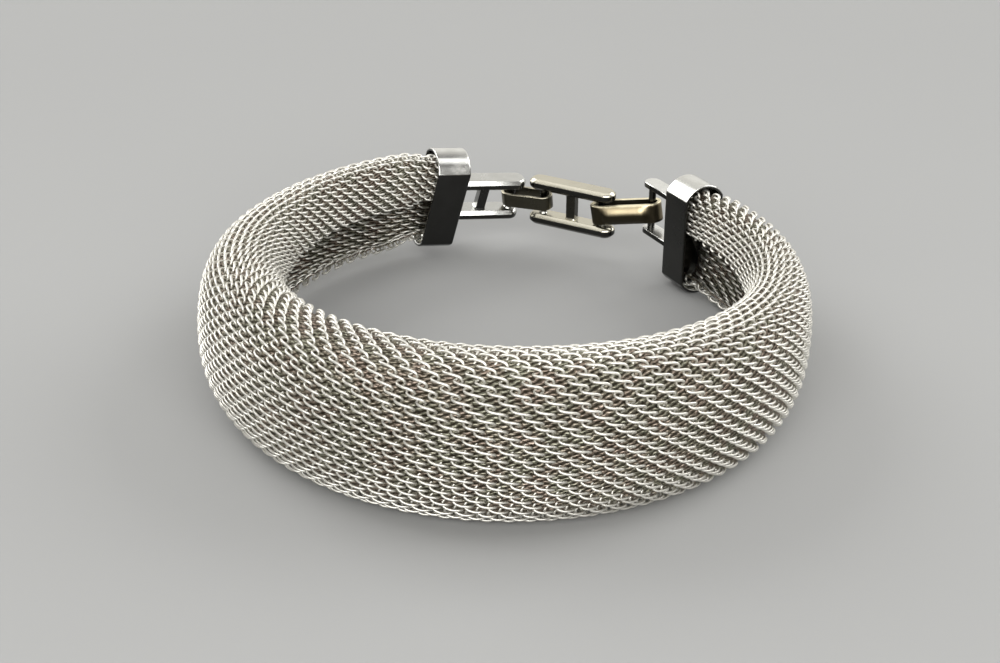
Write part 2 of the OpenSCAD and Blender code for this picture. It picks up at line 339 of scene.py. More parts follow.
def edge_wear_group():
    """Rubs edges through to another colour, raggedly, from a mask that is 1 on an edge."""
    build, given, out = group("edge wear", {
        "Vector": "Vector", "Color": (0.8, 0.8, 0.8, 1), "Worn": (0.9, 0.8, 0.6, 1), "Edge": 0.0,
        "Scale": 900.0, "Amount": 0.5}, {"Color": "Color", "Mask": "Float"})
    ragged = build.noise(given["Vector"], given["Scale"], detail=3.0, roughness=0.65)
    edge = build.plus(given["Edge"], build.scaled(ragged, 0.9, -0.45))
    edge = build.remap(edge, low=0.35, high=0.8)
    mask = build.math("MULTIPLY", edge, given["Amount"], clamp=True)
    build.fill(out, {"Color": build.mix(mask, given["Color"], given["Worn"]), "Mask": mask})


def handling_group():
    """Fine scratches and smudges of a handled metal: a height, and what they add to roughness."""
    build, given, out = group("handling marks", {
        "Vector": "Vector", "Scale": 600.0, "Scratches": 0.5, "Smudges": 0.1, "Roughness": 0.2},
        {"Height": "Float", "Roughness": "Float"})
    lines = []
    for turn, stretch in (((0.3, 0.5, 0.2), (0.12, 1.0, 2.6)), ((1.1, 0.2, 0.9), (2.2, 0.15, 1.0))):
        drawn = build.get("ShaderNodeMapping", {"Vector": given["Vector"], "Rotation": turn,
                                                "Scale": stretch})
        lines.append(build.noise(drawn, given["Scale"], detail=3.0, roughness=0.7))
    height = build.times(build.plus(*lines), given["Scratches"])
    smudge = build.noise(given["Vector"], build.times(given["Scale"], 0.35), detail=3.0,
                         roughness=0.6)
    smudge = build.remap(smudge, low=0.4, high=0.7)
    rough = build.scaled(smudge, given["Smudges"], given["Roughness"])
    build.fill(out, {"Height": height, "Roughness": rough})


def underside_shade_group():
    """Painted shade: keeps the full tone on what faces up, and darkens it on the sides and
    underneath.
    """
    build, given, out = group("underside", {
        "Normal": "Vector", "Color": (0.8, 0.8, 0.8, 1), "Deep": 0.3, "Low": -0.2, "High": 0.5},
        {"Color": "Color"})
    up = build.remap(build.part(given["Normal"], "Z"), given["Low"], given["High"], given["Deep"],
                     kind="SMOOTHSTEP")
    shade = build.get("ShaderNodeCombineColor", {"Red": up, "Green": up, "Blue": up})
    build.fill(out, {"Color": build.mix(1.0, given["Color"], shade, "MULTIPLY")})


def finish_start(name, metallic=1.0):
    """A new material's tree, shader and coordinates."""
    material = bpy.data.materials.new(name)
    material.use_nodes = True
    build = Tree(material.node_tree)
    shader = material.node_tree.nodes["Principled BSDF"]
    shader.inputs["Metallic"].default_value = metallic
    return build, shader, build.add("ShaderNodeTexCoord").outputs


def metal_finish(build, shader, coords, tarnish, marks, bump, wear=None, underside=None):
    """Gives a shader its tarnishing with any painted shade in its mask, its handling marks and, if
    asked, worn edges and painted shade on its sides and undersides.
    """
    spot = {"Vector": coords["Object"]}
    metal = build.run("tarnish", {**spot, **tarnish})
    tone = metal["Color"]
    if wear:
        tone = build.run("edge wear", {**spot, "Color": tone, **wear})["Color"]
    handled = build.run("handling marks", {**spot, "Roughness": metal["Roughness"], **marks})
    if underside:
        tone = build.run("underside", {"Normal": coords["Normal"], "Color": tone,
                                       **underside})["Color"]
    normal = build.get("ShaderNodeBump", {"Height": handled["Height"], **bump})
    build.fill(shader, {"Base Color": tone, "Roughness": handled["Roughness"], "Normal": normal})


def wire_finish(look):
    """Bright drawn wire, tarnished in patches; where it faces into the weave it is darkened, partly
    tarnishing and partly painted shade, and its sides and undersides are darkened as painted shade.
    """
    build, shader, coords = finish_start("woven_wire")
    out_way = build.attribute("sheet_out", "Vector")
    faces_out = build.add("ShaderNodeVectorMath", {0: coords["Normal"], 1: out_way},
                          operation="DOT_PRODUCT").outputs["Value"]
    # Where the wire faces into the weave it is darkened: painted shade, partly tarnishing
    inward = build.times(build.attribute("wire_depth"), faces_out)
    clean = build.mix(build.attribute("wire_tone"), rgba(look.wire_colour), rgba(look.wire_warm))
    metal_finish(
        build, shader, coords,
        tarnish={"Clean": clean, "Tarnished": rgba(look.tarnish_and_shade_colour), "Scale": 260.0,
                 "Amount": 0.22, "Clean Roughness": look.wire_roughness, "Dull Roughness": 0.46,
                 "Mask": build.remap(inward, 0.25, -0.5, 0.0, look.crevice_shade_and_tarnish)},
        marks={"Scale": 2600.0, "Scratches": 0.6, "Smudges": 0.06},
        bump={"Strength": 0.25, "Distance": 0.00004},
        underside={"Deep": look.wire_underside_shade, "Low": 0.0, "High": 0.62})


def inner_shade_finish(look, weave):
    """A dark inner sheet of painted shade, seen between the outer wires, with two rows of ridges in
    relief, painted shade in the hollows between them and tarnished patches.
    """
    build, shader, coords = finish_start("inner_wire")
    spot = coords["Object"]
    place = build.get("ShaderNodeUVMap", uv_map="guide_map")
    column = build.times(build.part(place, "X"),
                         INNER_ROWS * weave.columns / (4 * weave.half_width))
    turn = build.times(build.part(place, "Y"), INNER_ROWS * weave.turns)
    wave = build.times(build.noise(spot, scale=1300.0, detail=1.0), 0.8)
    turn = build.plus(turn, wave)
    ridges = [build.math("ABSOLUTE", build.math("SINE", build.times(slant, math.pi)))
              for slant in (build.math("SUBTRACT", turn, column), build.plus(turn, column))]
    relief = build.scaled(ridges[1], 0.5, ridges[0])
    warm = build.remap(build.noise(spot, scale=420.0, detail=1.0), low=0.4, high=0.6)
    clean = build.mix(warm, rgba(look.inner_shade_colour), rgba(look.inner_shade_warm))
    metal_finish(
        build, shader, coords,
        tarnish={"Clean": clean, "Tarnished": rgba(look.tarnish_and_shade_colour), "Scale": 520.0,
                 "Amount": 0.4, "Clean Roughness": 0.26, "Dull Roughness": 0.55,
                 # Painted shade in the hollows between the ridges
                 "Mask": build.remap(relief, 0.4, 1.3, 0.9, 0.0)},
        marks={"Scale": 2600.0, "Smudges": 0.1},
        bump={"Height": relief, "Strength": 1.0, "Distance": look.inner_relief})


def plated_finish(name, clean, dark, worn, roughness, wear, cloud, scratches, deep):
    """Plated metal with cloudy tarnishing, edges rubbed bright, fine scratches and smudges, and
    painted shade on its sides and undersides.
    """
    build, shader, coords = finish_start(name)
    metal_finish(
        build, shader, coords,
        tarnish={"Clean": rgba(clean), "Tarnished": rgba(dark), "Scale": 330.0, "Amount": cloud,
                 "Clean Roughness": roughness, "Dull Roughness": roughness + 0.2},
        wear={"Worn": rgba(worn), "Edge": build.attribute("edge_wear"), "Scale": 1400.0,
              "Amount": wear},
        marks={"Scale": 900.0, "Scratches": scratches, "Smudges": 0.1},
        bump={"Strength": 0.2, "Distance": 0.00005},
        # Painted shade: sides and undersides keep only the share deep of their tone
        underside={"Deep": deep, "Low": 0.0, "High": 0.42})


# Woven band

def signed_pow(v):
    return np.sign(v) * np.abs(v) ** (2 / ROLL_POWER)


def band_station(u):
    """Middle of the band at a share of its length, and its axes, bulge and height there."""
    a = LEFT_MOUTH + (360 + RIGHT_MOUTH - LEFT_MOUTH) * u

    def grown(share):
        return min(ease(u / share), ease((1 - u) / share))

    def flare(v):
        return ease(v / FLARE_RISE) * (1 - ease((v - FLARE_RISE) / FLARE_FADE))

    lean = 1 - ease(u / TAPER_H)
    yaw = ring_yaw(a) + RIGHT_TURN * (1 - ease((1 - u) / TURN_SHARE))
    low, side = (LEFT_MOUTH_Z, u) if u < 0.5 else (RIGHT_CAP_Z, 1 - u)
    middle = np.append(on_ring(a), low + (BAND_H / 2 - low) * ease(side / TAPER_H))
    axes = np.array(turned(LEFT_ROLL * lean, LEFT_DIP * lean, yaw))
    bulge = MOUTH_BULGE + (BAND_BULGE - MOUTH_BULGE) * grown(TAPER_BULGE)
    bulge += FLARE_BULGE * (flare(u) + flare(1 - u))
    height = MOUTH_H + (BAND_H - MOUTH_H) * grown(TAPER_H)
    height += LEFT_FLARE * flare(u) + RIGHT_FLARE * flare(1 - u)
    return middle, axes, bulge, height


def evenly(points, line, count):
    """Points at even steps along a line, whose own points belong to the given ones."""
    steps = np.linalg.norm(np.diff(line, axis=0), axis=1)
    run = np.concatenate(([0.0], np.cumsum(steps)))
    spots = np.linspace(0, run[-1], count)
    return np.stack([np.interp(spots, run, points[:, k]) for k in range(points.shape[1])], 1)


def sheet_line(bulge, height, count):
    """Middle of the woven sheet across one section, from the lower lip to the upper."""
    angles = np.radians(np.linspace(LOWER_LIP, UPPER_LIP, SECTION_POINTS))
    half_t = WEAVE_T / 2
    line = np.stack(((bulge - half_t) * signed_pow(np.cos(angles)),
                     (height / 2 - half_t) * signed_pow(np.sin(angles))), 1)
    return evenly(line, line, count)


def sheet_grid(rows, columns):
    """The sheet's middle surface in mm: even rows along the ring, even columns across."""
    sections, middles = [], []
    shares = [(u, 0.0) for u in np.linspace(0, 1, 2 * rows)]
    for u, tuck in [(0.0, TUCK)] + shares + [(1.0, -TUCK)]:
        middle, axes, bulge, height = band_station(u)
        middle = middle + tuck * axes[:, 0]
        line = sheet_line(bulge, height, columns)
        sections.append(middle + line[:, :1] * axes[:, 1] + line[:, 1:] * axes[:, 2])
        middles.append(middle)
    even = evenly(np.array(sections).reshape(len(sections), -1), np.array(middles), rows)
    return even.reshape(rows, columns, 3) + SHIFT


def guide_mesh(name, rows, columns, sink=0.0):
    """The sheet as a mesh, with a map of it, its outward normals and its relative width."""
    grid = sheet_grid(rows, columns) * MM
    normals = np.cross(np.gradient(grid, axis=0), np.gradient(grid, axis=1))
    normals /= np.linalg.norm(normals, axis=2, keepdims=True)
    grid = grid - normals * sink
    index = np.arange(rows * columns).reshape(rows, columns)
    faces = np.stack((index[:-1, :-1], index[1:, :-1], index[1:, 1:], index[:-1, 1:]), -1)
    mesh = bpy.data.meshes.new(name)
    mesh.from_pydata(grid.reshape(-1, 3).tolist(), [], faces.reshape(-1, 4).tolist())
    layer = mesh.attributes.new("sheet_normal", "FLOAT_VECTOR", "POINT")
    layer.data.foreach_set("vector", normals.ravel())
    widths = np.linalg.norm(np.diff(grid, axis=1), axis=2).sum(axis=1)
    layer = mesh.attributes.new("sheet_width", "FLOAT", "POINT")
    layer.data.foreach_set("value", np.repeat(widths / widths.max(), columns))
    corners = np.empty(len(mesh.loops), int)
    mesh.loops.foreach_get("vertex_index", corners)
    spots = np.stack((corners // columns / (rows - 1), corners % columns / (columns - 1)), 1)
    mesh.uv_layers.new(name="guide_map").data.foreach_set("uv", spots.ravel())
    return mesh


def enabled(sockets):
    return [socket for socket in sockets if socket.enabled]


def weave_tree(sizes):
    """Geometry nodes: a row of flattened wire spirals, each hooked through the next."""
    build, given, out = group("woven spirals", {
        "Geometry": "Geometry", "Material": "Material", **sizes}, {"Geometry": "Geometry"},
        kind="GeometryNodeTree")
    segments = build.math("ROUND", build.times(given["Turns"], given["Segments per Turn"]))
    line = build.get("GeometryNodeCurvePrimitiveLine")
    line = build.get("GeometryNodeResampleCurve", {"Curve": line,
                                                   "Count": build.plus(segments, 1.0)})
    points = build.get("GeometryNodePoints", {"Count": given["Columns"]})
    rows = build.get("GeometryNodeInstanceOnPoints", {"Points": points, "Instance": line})
    rows = build.get("GeometryNodeRealizeInstances", {"Geometry": rows})
    place = build.add("GeometryNodeCurveOfPoint").outputs
    column = build.plus(place["Curve Index"], given["First Column"])
    share = build.math("DIVIDE", place["Index in Curve"], segments)
    field = build.vector(build.times(column, DRIFT_ALONG), build.times(share, DRIFT_ACROSS),
                         given["Seed"])

    def stored(name, kind="FLOAT_VECTOR"):
        return build.get("GeometryNodeInputNamedAttribute", {"Name": name}, data_type=kind)

    def on_sheet(value, target):
        """What a value of the guide is at a target on its map."""
        sample = build.add("GeometryNodeSampleUVSurface", data_type="FLOAT_VECTOR")
        sources = (given["Geometry"], value, stored("guide_map"), target)
        for socket, source in zip(enabled(sample.inputs), sources):
            build.tree.links.new(source, socket)
        return enabled(sample.outputs)[0]

    def swing(scale, detail):
        """Noise of the field, from -1 to 1."""
        return build.scaled(build.noise(field, scale, detail), 2.0, -1.0)

    # How wide the sheet is where this spiral lies, as a share of its widest
    middle = build.scaled(column, given["Column Step"], given["Margin"])
    middle = build.vector(middle, 0.5)
    width = on_sheet(stored("sheet_width", "FLOAT"), middle)
    fewer = build.math("POWER", width, given["Evenness"])
    narrower = build.math("POWER", width, given["End Narrowing"])
    hooked = build.math("POWER", width, build.times(given["End Hooks"], -1.0))

    # Slow drift of the weave, and a small jump of phase from one spiral to the next
    drift = swing(scale=1.0, detail=2.0)
    finer = swing(scale=5.0, detail=1.0)
    jump = build.add("FunctionNodeRandomValue", {"Min": -1.0, "Max": 1.0, "ID": column,
                                                 "Seed": given["Seed"]}, data_type="FLOAT")
    jump = enabled(jump.outputs)[0]
    uneven = build.scaled(drift, DRIFT_TURN, jump)
    uneven = build.times(uneven, given["Irregularity"])

    # The spiral: its turn, its reach to either side, and the hooks that square its turns
    turn = build.math("SUBTRACT", share, ROW_ANCHOR)
    turn = build.times(turn, fewer, given["Turns"], 2 * math.pi)
    turn = build.plus(turn, build.times(column, math.pi))
    turn = build.plus(turn, uneven)
    aside = build.times(build.math("COSINE", turn), given["Half Width"], narrower)
    depth = build.math("SINE", turn)
    across = build.plus(column, aside)
    across = build.scaled(build.times(finer, given["Irregularity"]), SWAY, across)
    across = build.scaled(across, given["Column Step"], given["Margin"])
    hook = build.math("SINE", build.times(turn, 2.0))
    hook = build.times(hook, given["Squareness"], hooked)
    hook = build.math("DIVIDE", build.math("DIVIDE", hook, given["Turns"]), fewer)
    up = build.plus(build.remap(share, 0.0, 1.0, LIP_ROOM, 1 - LIP_ROOM), hook)
    target = build.vector(across, up)

    # On the sheet, lifted or sunk by its depth
    on = on_sheet(build.get("GeometryNodeInputPosition"), target)
    out_way = on_sheet(stored("sheet_normal"), target)
    lift = build.get("ShaderNodeVectorMath",
                     {0: out_way, "Scale": build.times(depth, given["Half Thickness"])},
                     operation="SCALE")
    spot = build.get("ShaderNodeVectorMath", {0: on, 1: lift}, operation="ADD")
    made = build.get("GeometryNodeSetPosition", {"Geometry": rows, "Position": spot})
    tone = build.scaled(jump, TONE_JUMP, 0.5)
    tone = build.scaled(drift, TONE_DRIFT, tone, clamp=True)
    for name, value, kind in (("wire_depth", depth, "FLOAT"), ("wire_tone", tone, "FLOAT"),
                              ("sheet_out", out_way, "FLOAT_VECTOR")):
        made = build.get("GeometryNodeStoreNamedAttribute",
                         {"Geometry": made, "Name": name, "Value": value},
                         data_type=kind, domain="POINT")
    wire = build.get("GeometryNodeCurvePrimitiveCircle", {"Resolution": given["Wire Sides"],
                                                          "Radius": given["Wire Radius"]})
    made = build.get("GeometryNodeCurveToMesh", {"Curve": made, "Profile Curve": wire,
                                                 "Fill Caps": True})
    made = build.get("GeometryNodeSetShadeSmooth", {"Geometry": made})
    made = build.get("GeometryNodeRealizeInstances", {"Geometry": made})
    made = build.get("GeometryNodeSetMaterial", {"Geometry": made, "Material": given["Material"]})
    build.fill(out, {"Geometry": made})
    return build.tree


def new_object(name, data):
    thing = bpy.data.objects.new(name, data)
    bpy.context.scene.collection.objects.link(thing)
    return thing


def grown_mesh(mesh, tree, values, name):
    """Plain mesh of what a geometry node tree makes of a mesh."""
    carrier = new_object(name, mesh)
    nodes = carrier.modifiers.new("nodes", "NODES")
    nodes.node_group = tree
    for item in tree.interface.items_tree:
        if item.item_type == "SOCKET" and item.in_out == "INPUT" and item.name in values:
            nodes[item.identifier] = values[item.name]
    bpy.context.view_layer.update()
    ready = carrier.evaluated_get(bpy.context.evaluated_depsgraph_get())
    result = bpy.data.meshes.new_from_object(ready)
    carrier.modifiers.remove(nodes)
    bpy.data.objects.remove(carrier)
    result.name = name
    if not result.polygons:
        raise RuntimeError(f"{name} has no wires")
    return result


# Metal pieces

def both_sides(low, start=0, end=0):
    """Steps of a plate's lower edge, or of a rung's lower half, with those of the upper."""
    return low + [(end - (place - start), inset) for place, inset in reversed(low)]


def corner_steps(start, end, size, steps=4):
    """(place along the axis, inset) of a plate whose two edges are rounded over."""
    turns = [90 * k / steps for k in range(steps + 1)]
    return both_sides([(start + size - size * cos(t), size - size * sin(t)) for t in turns],
                      start, end)


def chamfer_steps(start, end, size, soft=0.05):
    """The same with flat chamfers that are only softened at their own two edges."""
    return both_sides([(start, size + soft), (start + soft * 0.3, size - soft * 0.2),
                       (start + size - soft * 0.2, soft * 0.3), (start + size + soft, 0.0)],
                      start, end)


def edge_marks(profile):
    """1 where the profile turns an edge and 0 where it runs straight."""
    return [0.0 if inset == 0 else 1.0 for _, inset in profile]


def arc(centre, radius, start, end, steps):
    return [(centre[0] + radius * cos(start + (end - start) * k / steps),
             centre[1] + radius * sin(start + (end - start) * k / steps)) for k in range(steps + 1)]


def ring_of(radius, steps):
    return arc((0, 0), radius, 0, 360, steps)[:-1]


def stadium(start, end, radius, round_start=True, steps=14):
    """Outline in X and Y round two ends, the first of them square if asked."""
    line = arc((end - radius, 0), radius, -90, 90, steps)
    if round_start:
        return line + arc((start + radius, 0), radius, 90, 270, steps)
    return line + [(start, radius), (start, -radius)]


def cap_outline(inset, corner, steps=8):
    """Outline of a cap in Y and Z: flat sides, arched top and base, softened corners."""
    dome_z = CAP_H / 2 - CAP_DOME_R
    corner_y = CAP_T / 2 - corner
    corner_z = math.sqrt((CAP_DOME_R - corner) ** 2 - corner_y ** 2)
    lean = angle_of(corner_z, corner_y)
    top = arc((corner_y, dome_z + corner_z), corner - inset, 0, lean, steps)
    top += arc((0, dome_z), CAP_DOME_R - inset, lean, 180 - lean, 2 * steps)[1:-1]
    top += arc((-corner_y, dome_z + corner_z), corner - inset, 180 - lean, 180, steps)
    return top + [(-y, -z) for y, z in top]


def skin(bm, rings, marks, place, joined=False):
    """Closed skin over rings of equal count. Marks say how worn each ring, or point, is."""
    layer = bm.verts.layers.float["edge_wear"]
    rows = []
    for ring, mark in zip(rings, marks):
        row = []
        for k, point in enumerate(ring):
            vert = bm.verts.new(place @ Vector(point))
            vert[layer] = mark[k] if isinstance(mark, list) else mark
            row.append(vert)
        rows.append(row)
    for low, high in zip(rows, rows[1:] + (rows[:1] if joined else [])):
        for k in range(len(low)):
            m = (k + 1) % len(low)
            bm.faces.new((low[k], low[m], high[m], high[k]))
    if not joined:
        bm.faces.new(rows[0][::-1])
        bm.faces.new(rows[-1])


def plate(bm, outline, profile, place):
    """Plate across Z from an outline that takes an inset."""
    rings = [[(x, y, z) for x, y in outline(inset)] for z, inset in profile]
    skin(bm, rings, edge_marks(profile), place)


def rail(bm, start, end, z, bevel, place, round_start):
    half = RAIL_H / 2

    def outline(inset):
        near = start + (inset if round_start else 0)
        return stadium(near, end - inset, RAIL_T / 2 - inset, round_start)

    plate(bm, outline, chamfer_steps(z - half, z + half, bevel), place)


def round_rung(bm, x, place):
    """Round bar between the rails, flared into them by the solder."""
    inner = RAIL_Z - RAIL_H / 2
    spots = both_sides([(-RAIL_Z, ROUND_FLARE), (-inner - 0.02, ROUND_FLARE), (-inner + 0.06, 0.05),
                        (-inner + 0.22, 0.0)])
    rings = [[(x + px, py, z) for px, py in ring_of(RUNG_D / 2 + flare, 24)] for z, flare in spots]
    skin(bm, rings, [0.4] + [0.2] * 6 + [0.4], place)


def flat_rung(bm, x, place, bevel=0.12):
    """Square bar between the rails, with eased edges and a flare at each rail."""
    side, inner = MID_RUNG_W / 2, RAIL_Z - RAIL_H / 2
    rings = []
    for z, flare in both_sides([(-RAIL_Z, FLAT_FLARE), (-inner, FLAT_FLARE), (-inner + 0.12, 0.02),
                                (-inner + 0.3, 0)]):
        corner = arc((side - bevel, side - bevel), bevel + flare, 0, 90, 3)
        rings.append([(x + px * cos(turn) - py * sin(turn), px * sin(turn) + py * cos(turn), z)
                      for turn in (0, 90, 180, 270) for px, py in corner])
    skin(bm, rings, [0.8] * len(rings), place)


def cap_body(bm, place, bevel, corner):
    """Cap from its mouth at X = 0: pocket, rim, outside, and the closed clasp side."""
    profile = [(POCKET_DEPTH, CAP_WALL), (RIM_EDGE, CAP_WALL), (0.05, CAP_WALL - 0.03),
               (0.0, CAP_WALL - RIM_EDGE), (0.0, RIM_EDGE), (0.035, 0.035), (RIM_EDGE, 0.0)]
    marks = [0.0, 0.0, 1.0, 1.0, 1.0, 1.0, 0.0]
    back = corner_steps(0, CAP_LEN, bevel, 5)
    back = back[len(back) // 2:]
    rings = [[(x, y, z) for y, z in cap_outline(inset, corner)] for x, inset in profile + back]
    skin(bm, rings, marks + edge_marks(back), place)


def lug(bm, z, place, bevel):
    half = LUG_T / 2

    def outline(inset):
        end = CAP_LEN + PIN_REACH + LUG_W / 2 - inset
        line = stadium(CAP_LEN - BITE, end, LUG_W / 2 - inset, False)
        return [(x, y + LUG_SIDE) for x, y in line]

    plate(bm, outline, corner_steps(z - half, z + half, bevel, 3), place)


def strip_loop(bm, strip, thick, height, crown=0.0, bevel=0.09, steps=16):
    """Flat strip folded round two bars, its wrist side raised in a low crown if asked."""
    place, run = strip
    inner, half = RUNG_D / 2 + STRIP_ROOM, height / 2
    soft = bevel * BEVEL_SOFT
    straight = range(1, STRIP_STEPS)
    fold = [180 * k / steps for k in range(steps + 1)]
    stations = [(run, turn - 90) for turn in fold]
    stations += [(run * (1 - k / STRIP_STEPS), 90) for k in straight]
    stations += [(0, 90 + turn) for turn in fold]
    stations += [(run * k / STRIP_STEPS, 270) for k in straight]
    rings = []
    for x, a in stations:
        share = 0.0
        if crown and a == 270:
            share = ease(x / run / CROWN_RISE) * ease((1 - x / run) / CROWN_RISE)
        section = [(-half, bevel), (-half, thick - bevel), (-half + soft, thick - soft)]
        for k in range(-4, 5):
            z = (half - bevel) * k / 4
            section.append((z, thick + crown * share * (1 - (z / half) ** 2)))
        section += [(half - soft, thick - soft), (half, thick - bevel), (half, bevel),
                    (half - soft, soft), (half - bevel, 0.0), (-half + bevel, 0.0),
                    (-half + soft, soft)]
        rings.append([(x + cos(a) * (inner + lift), sin(a) * (inner + lift), z)
                      for z, lift in section])
    # Worn at its edges and inside, and little on its outer face
    marks = [1.0] * 3 + [0.6] + [0.15] * 7 + [0.6] + [1.0] * 7
    skin(bm, rings, [marks] * len(rings), place, joined=True)


def finished(name, bm, material, slot, *nodes):
    """Turns a mesh in work into a piece that rides on the frame."""
    bmesh.ops.remove_doubles(bm, verts=bm.verts, dist=SAME_POINT)
    bmesh.ops.recalc_face_normals(bm, faces=bm.faces)
    mesh = bpy.data.meshes.new(name)
    bm.to_mesh(mesh)
    bm.free()
    mesh.materials.append(bpy.data.materials[material])
    mesh.polygons.foreach_set("use_smooth", [True] * len(mesh.polygons))
    piece = new_object(name, mesh)
    flat = piece.modifiers.new("flat faces", "WEIGHTED_NORMAL")
    flat.weight = 90
    mounted(piece, slot, *nodes)


def mounted(piece, slot, *nodes):
    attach(piece, BODY)
    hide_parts(*nodes)


def started():
    bm = bmesh.new()
    bm.verts.layers.float.new("edge_wear")
    return bm


# Settings

def number(name, description, default, low, high, **more):
    kind = IntProperty if isinstance(default, int) else FloatProperty
    return kind(name=name, description=description, default=default, min=low, max=high, **more)


def factor(name, description, default):
    return number(name, description, default, 0, 1, subtype="FACTOR")


def length(name, description, default):
    return FloatProperty(name=name, description=description, default=default, subtype="DISTANCE",
                         unit="LENGTH", precision=5)


def power(name, description, default):
    return FloatProperty(name=name, description=description, default=default, subtype="POWER",
                         unit="POWER")


def colour(name, description, default):
    return FloatVectorProperty(name=name, description=description, default=default, size=3,
                               subtype="COLOR", min=0, max=1)


class WeaveSettings(bpy.types.PropertyGroup):
    """Counts and sizes of the woven band"""
    columns: number("Spirals", "Wire spirals along the whole band", 160, 60, 300)
    pieces: number("Pieces", "Meshes that the band is split into", 6, 1, 12)
    turns: number("Turns", "Turns of one spiral across the band", 21.5, 6, 40)
    half_width: number("Half width", "Half the width of a spiral, in steps from one spiral to "
                       "the next", 0.88, 0.6, 1.4)
    half_thickness: length("Half thickness", "Half the thickness of a spiral, to the middle of "
                           "its wire", 0.00043)
    squareness: number("Squareness", "How much of a turn's advance lies in its hooked ends",
                       0.036, 0, 0.08)
    evenness: number("Evenness", "How evenly the turns are spaced: 1 keeps their spacing where "
                     "the band narrows, 0 keeps their number", 0.5, 0, 1)
    end_narrowing: number("End narrowing", "How much the spirals narrow with the band", 0.2, 0, 1)
    end_hooks: number("End hooks", "How much squarer the turns grow as the band narrows",
                      1.5, 0, 2)
    wire_radius: length("Wire radius", "Radius of the drawn wire", 0.00014)
    # The dark inner layer is a sheet of painted shade between the wires
    core_thickness: length("Core thickness", "Thickness of the dark inner layer of the weave",
                           0.0001)
    core_sink: length("Core sink", "Depth of the inner layer below the middle of the weave",
                      0.0002)
    segments_per_turn: number("Segments", "Straight steps in one turn of a spiral", 16, 8, 32)
    wire_sides: number("Sides", "Sides of the wire", 6, 3, 12)
    irregularity: number("Irregularity", "How uneven the weave is", 0.12, 0, 1)
    seed: IntProperty(name="Seed", description="Start of the weave's unevenness", default=3)


class ClaspSettings(bpy.types.PropertyGroup):
    """Edges of the caps and the clasp"""
    cap_edge: number("Cap edge", "Rounding of a cap's edges in mm", 0.28, 0.05, 0.5)
    left_corner: number("Left corners", "Radius of the left cap's long corners in mm",
                        0.6, 0.3, 0.8)
    right_corner: number("Right corners", "Radius of the right cap's long corners in mm",
                         0.34, 0.3, 0.8)
    rail_edge: number("Rail edge", "Chamfer of the ladder's rails in mm", 0.4, 0.05, 0.5)
    lug_edge: number("Lug edge", "Rounding of the lugs' edges in mm", 0.12, 0.02, 0.3)


class FinishSettings(bpy.types.PropertyGroup):
    """Colours and wear of the metals"""
    wire_colour: colour("Wire", "Clean wire", (0.88, 0.86, 0.80))
    wire_warm: colour("Warm wire", "Wire of a warmer tone", (0.88, 0.82, 0.68))
    tarnish_and_shade_colour: colour("Tarnish", "Tarnish of the wire", (0.07, 0.058, 0.042))
    # Colours of the dark inner layer, painted shade seen between the wires
    inner_shade_colour: colour("Inner wire", "Wires deep in the weave", (0.39, 0.385, 0.3))
    inner_shade_warm: colour("Warm inner wire", "Reddish patches of the deep wires", (0.42, 0.34, 0.28))
    inner_relief: length("Inner relief", "Height of the deep wires' relief", 0.00018)
    wire_roughness: factor("Wire roughness", "Roughness of the clean wire", 0.2)
    # Painted shade on the wire's sides and undersides
    wire_underside_shade: factor("Wire undersides", "Share of the wire's tone that its undersides keep", 0.06)
    # Darkening where the wire faces into the weave: painted shade, partly tarnishing
    crevice_shade_and_tarnish: factor("Crevice tarnish", "Tarnish where the wire faces into the weave", 0.92)
    cap_colour: colour("Caps", "Plated end caps", (0.88, 0.88, 0.84))
    cap_worn: colour("Worn caps", "Caps where the plating is rubbed", (0.95, 0.95, 0.92))
    link_colour: colour("Links", "Plated ladder links and pin", (0.56, 0.555, 0.51))
    link_worn: colour("Worn links", "Links where the plating is rubbed", (0.68, 0.635, 0.5))
    connector_colour: colour("Connector", "Dull connector strip", (0.52, 0.49, 0.37))
    clip_colour: colour("Clip", "Worn clip", (0.64, 0.53, 0.33))
    clip_worn: colour("Worn clip", "Clip's edges", (0.97, 0.9, 0.66))
    plate_dark: colour("Dark plate", "Tarnish of the plated pieces", (0.3, 0.27, 0.2))


class StageSettings(bpy.types.PropertyGroup):
    """Floor, lights and camera"""
    floor_colour: colour("Floor", "Plain floor", (0.35, 0.35, 0.343))
    floor_size: length("Floor size", "Half the side of the floor", 3.0)
    overhead_power: power("Overhead softbox", "Power of the softbox overhead", 2.8)
    front_power: power("Front softbox", "Power of the softbox over the camera", 14.0)
    side_power: power("Side lights", "Power of each softbox beside the bracelet", 5.5)
    room_light: number("Room light", "Strength of the room's light", 0.86, 0, 5)
    lens: number("Lens", "Focal length of the camera in mm", 54.07, 10, 200)


# Operators

class BRACELET_OT_finishes(bpy.types.Operator):
    """Make the wire, cap, link and clip finishes"""
    bl_idname = "bracelet.finishes"
    bl_label = "Finishes"

    def execute(self, context):
        look = context.scene.bracelet_finish
        tarnish_and_shade_group()
        edge_wear_group()
        handling_group()
        underside_shade_group()
        wire_finish(look)
        inner_shade_finish(look, context.scene.bracelet_weave)
        dark = look.plate_dark
        # Each deep is the share of its tone that a piece's sides and undersides keep, as painted
        # shade
        plated_finish("cap_plate", look.cap_colour, dark, look.cap_worn, roughness=0.17,
                      wear=0.3, cloud=0.25, scratches=0.5, deep=0.06)
        plated_finish("link_plate", look.link_colour, dark, look.link_worn, roughness=0.17,
                      wear=0.75, cloud=0.28, scratches=0.8, deep=0.08)
        plated_finish("connector_plate", look.connector_colour, dark, look.link_worn,
                      roughness=0.26, wear=0.75, cloud=0.5, scratches=0.9, deep=0.16)
        plated_finish("clip_plate", look.clip_colour, dark, look.clip_worn, roughness=0.33,
                      wear=0.8, cloud=0.4, scratches=0.9, deep=0.08)
        return {"FINISHED"}


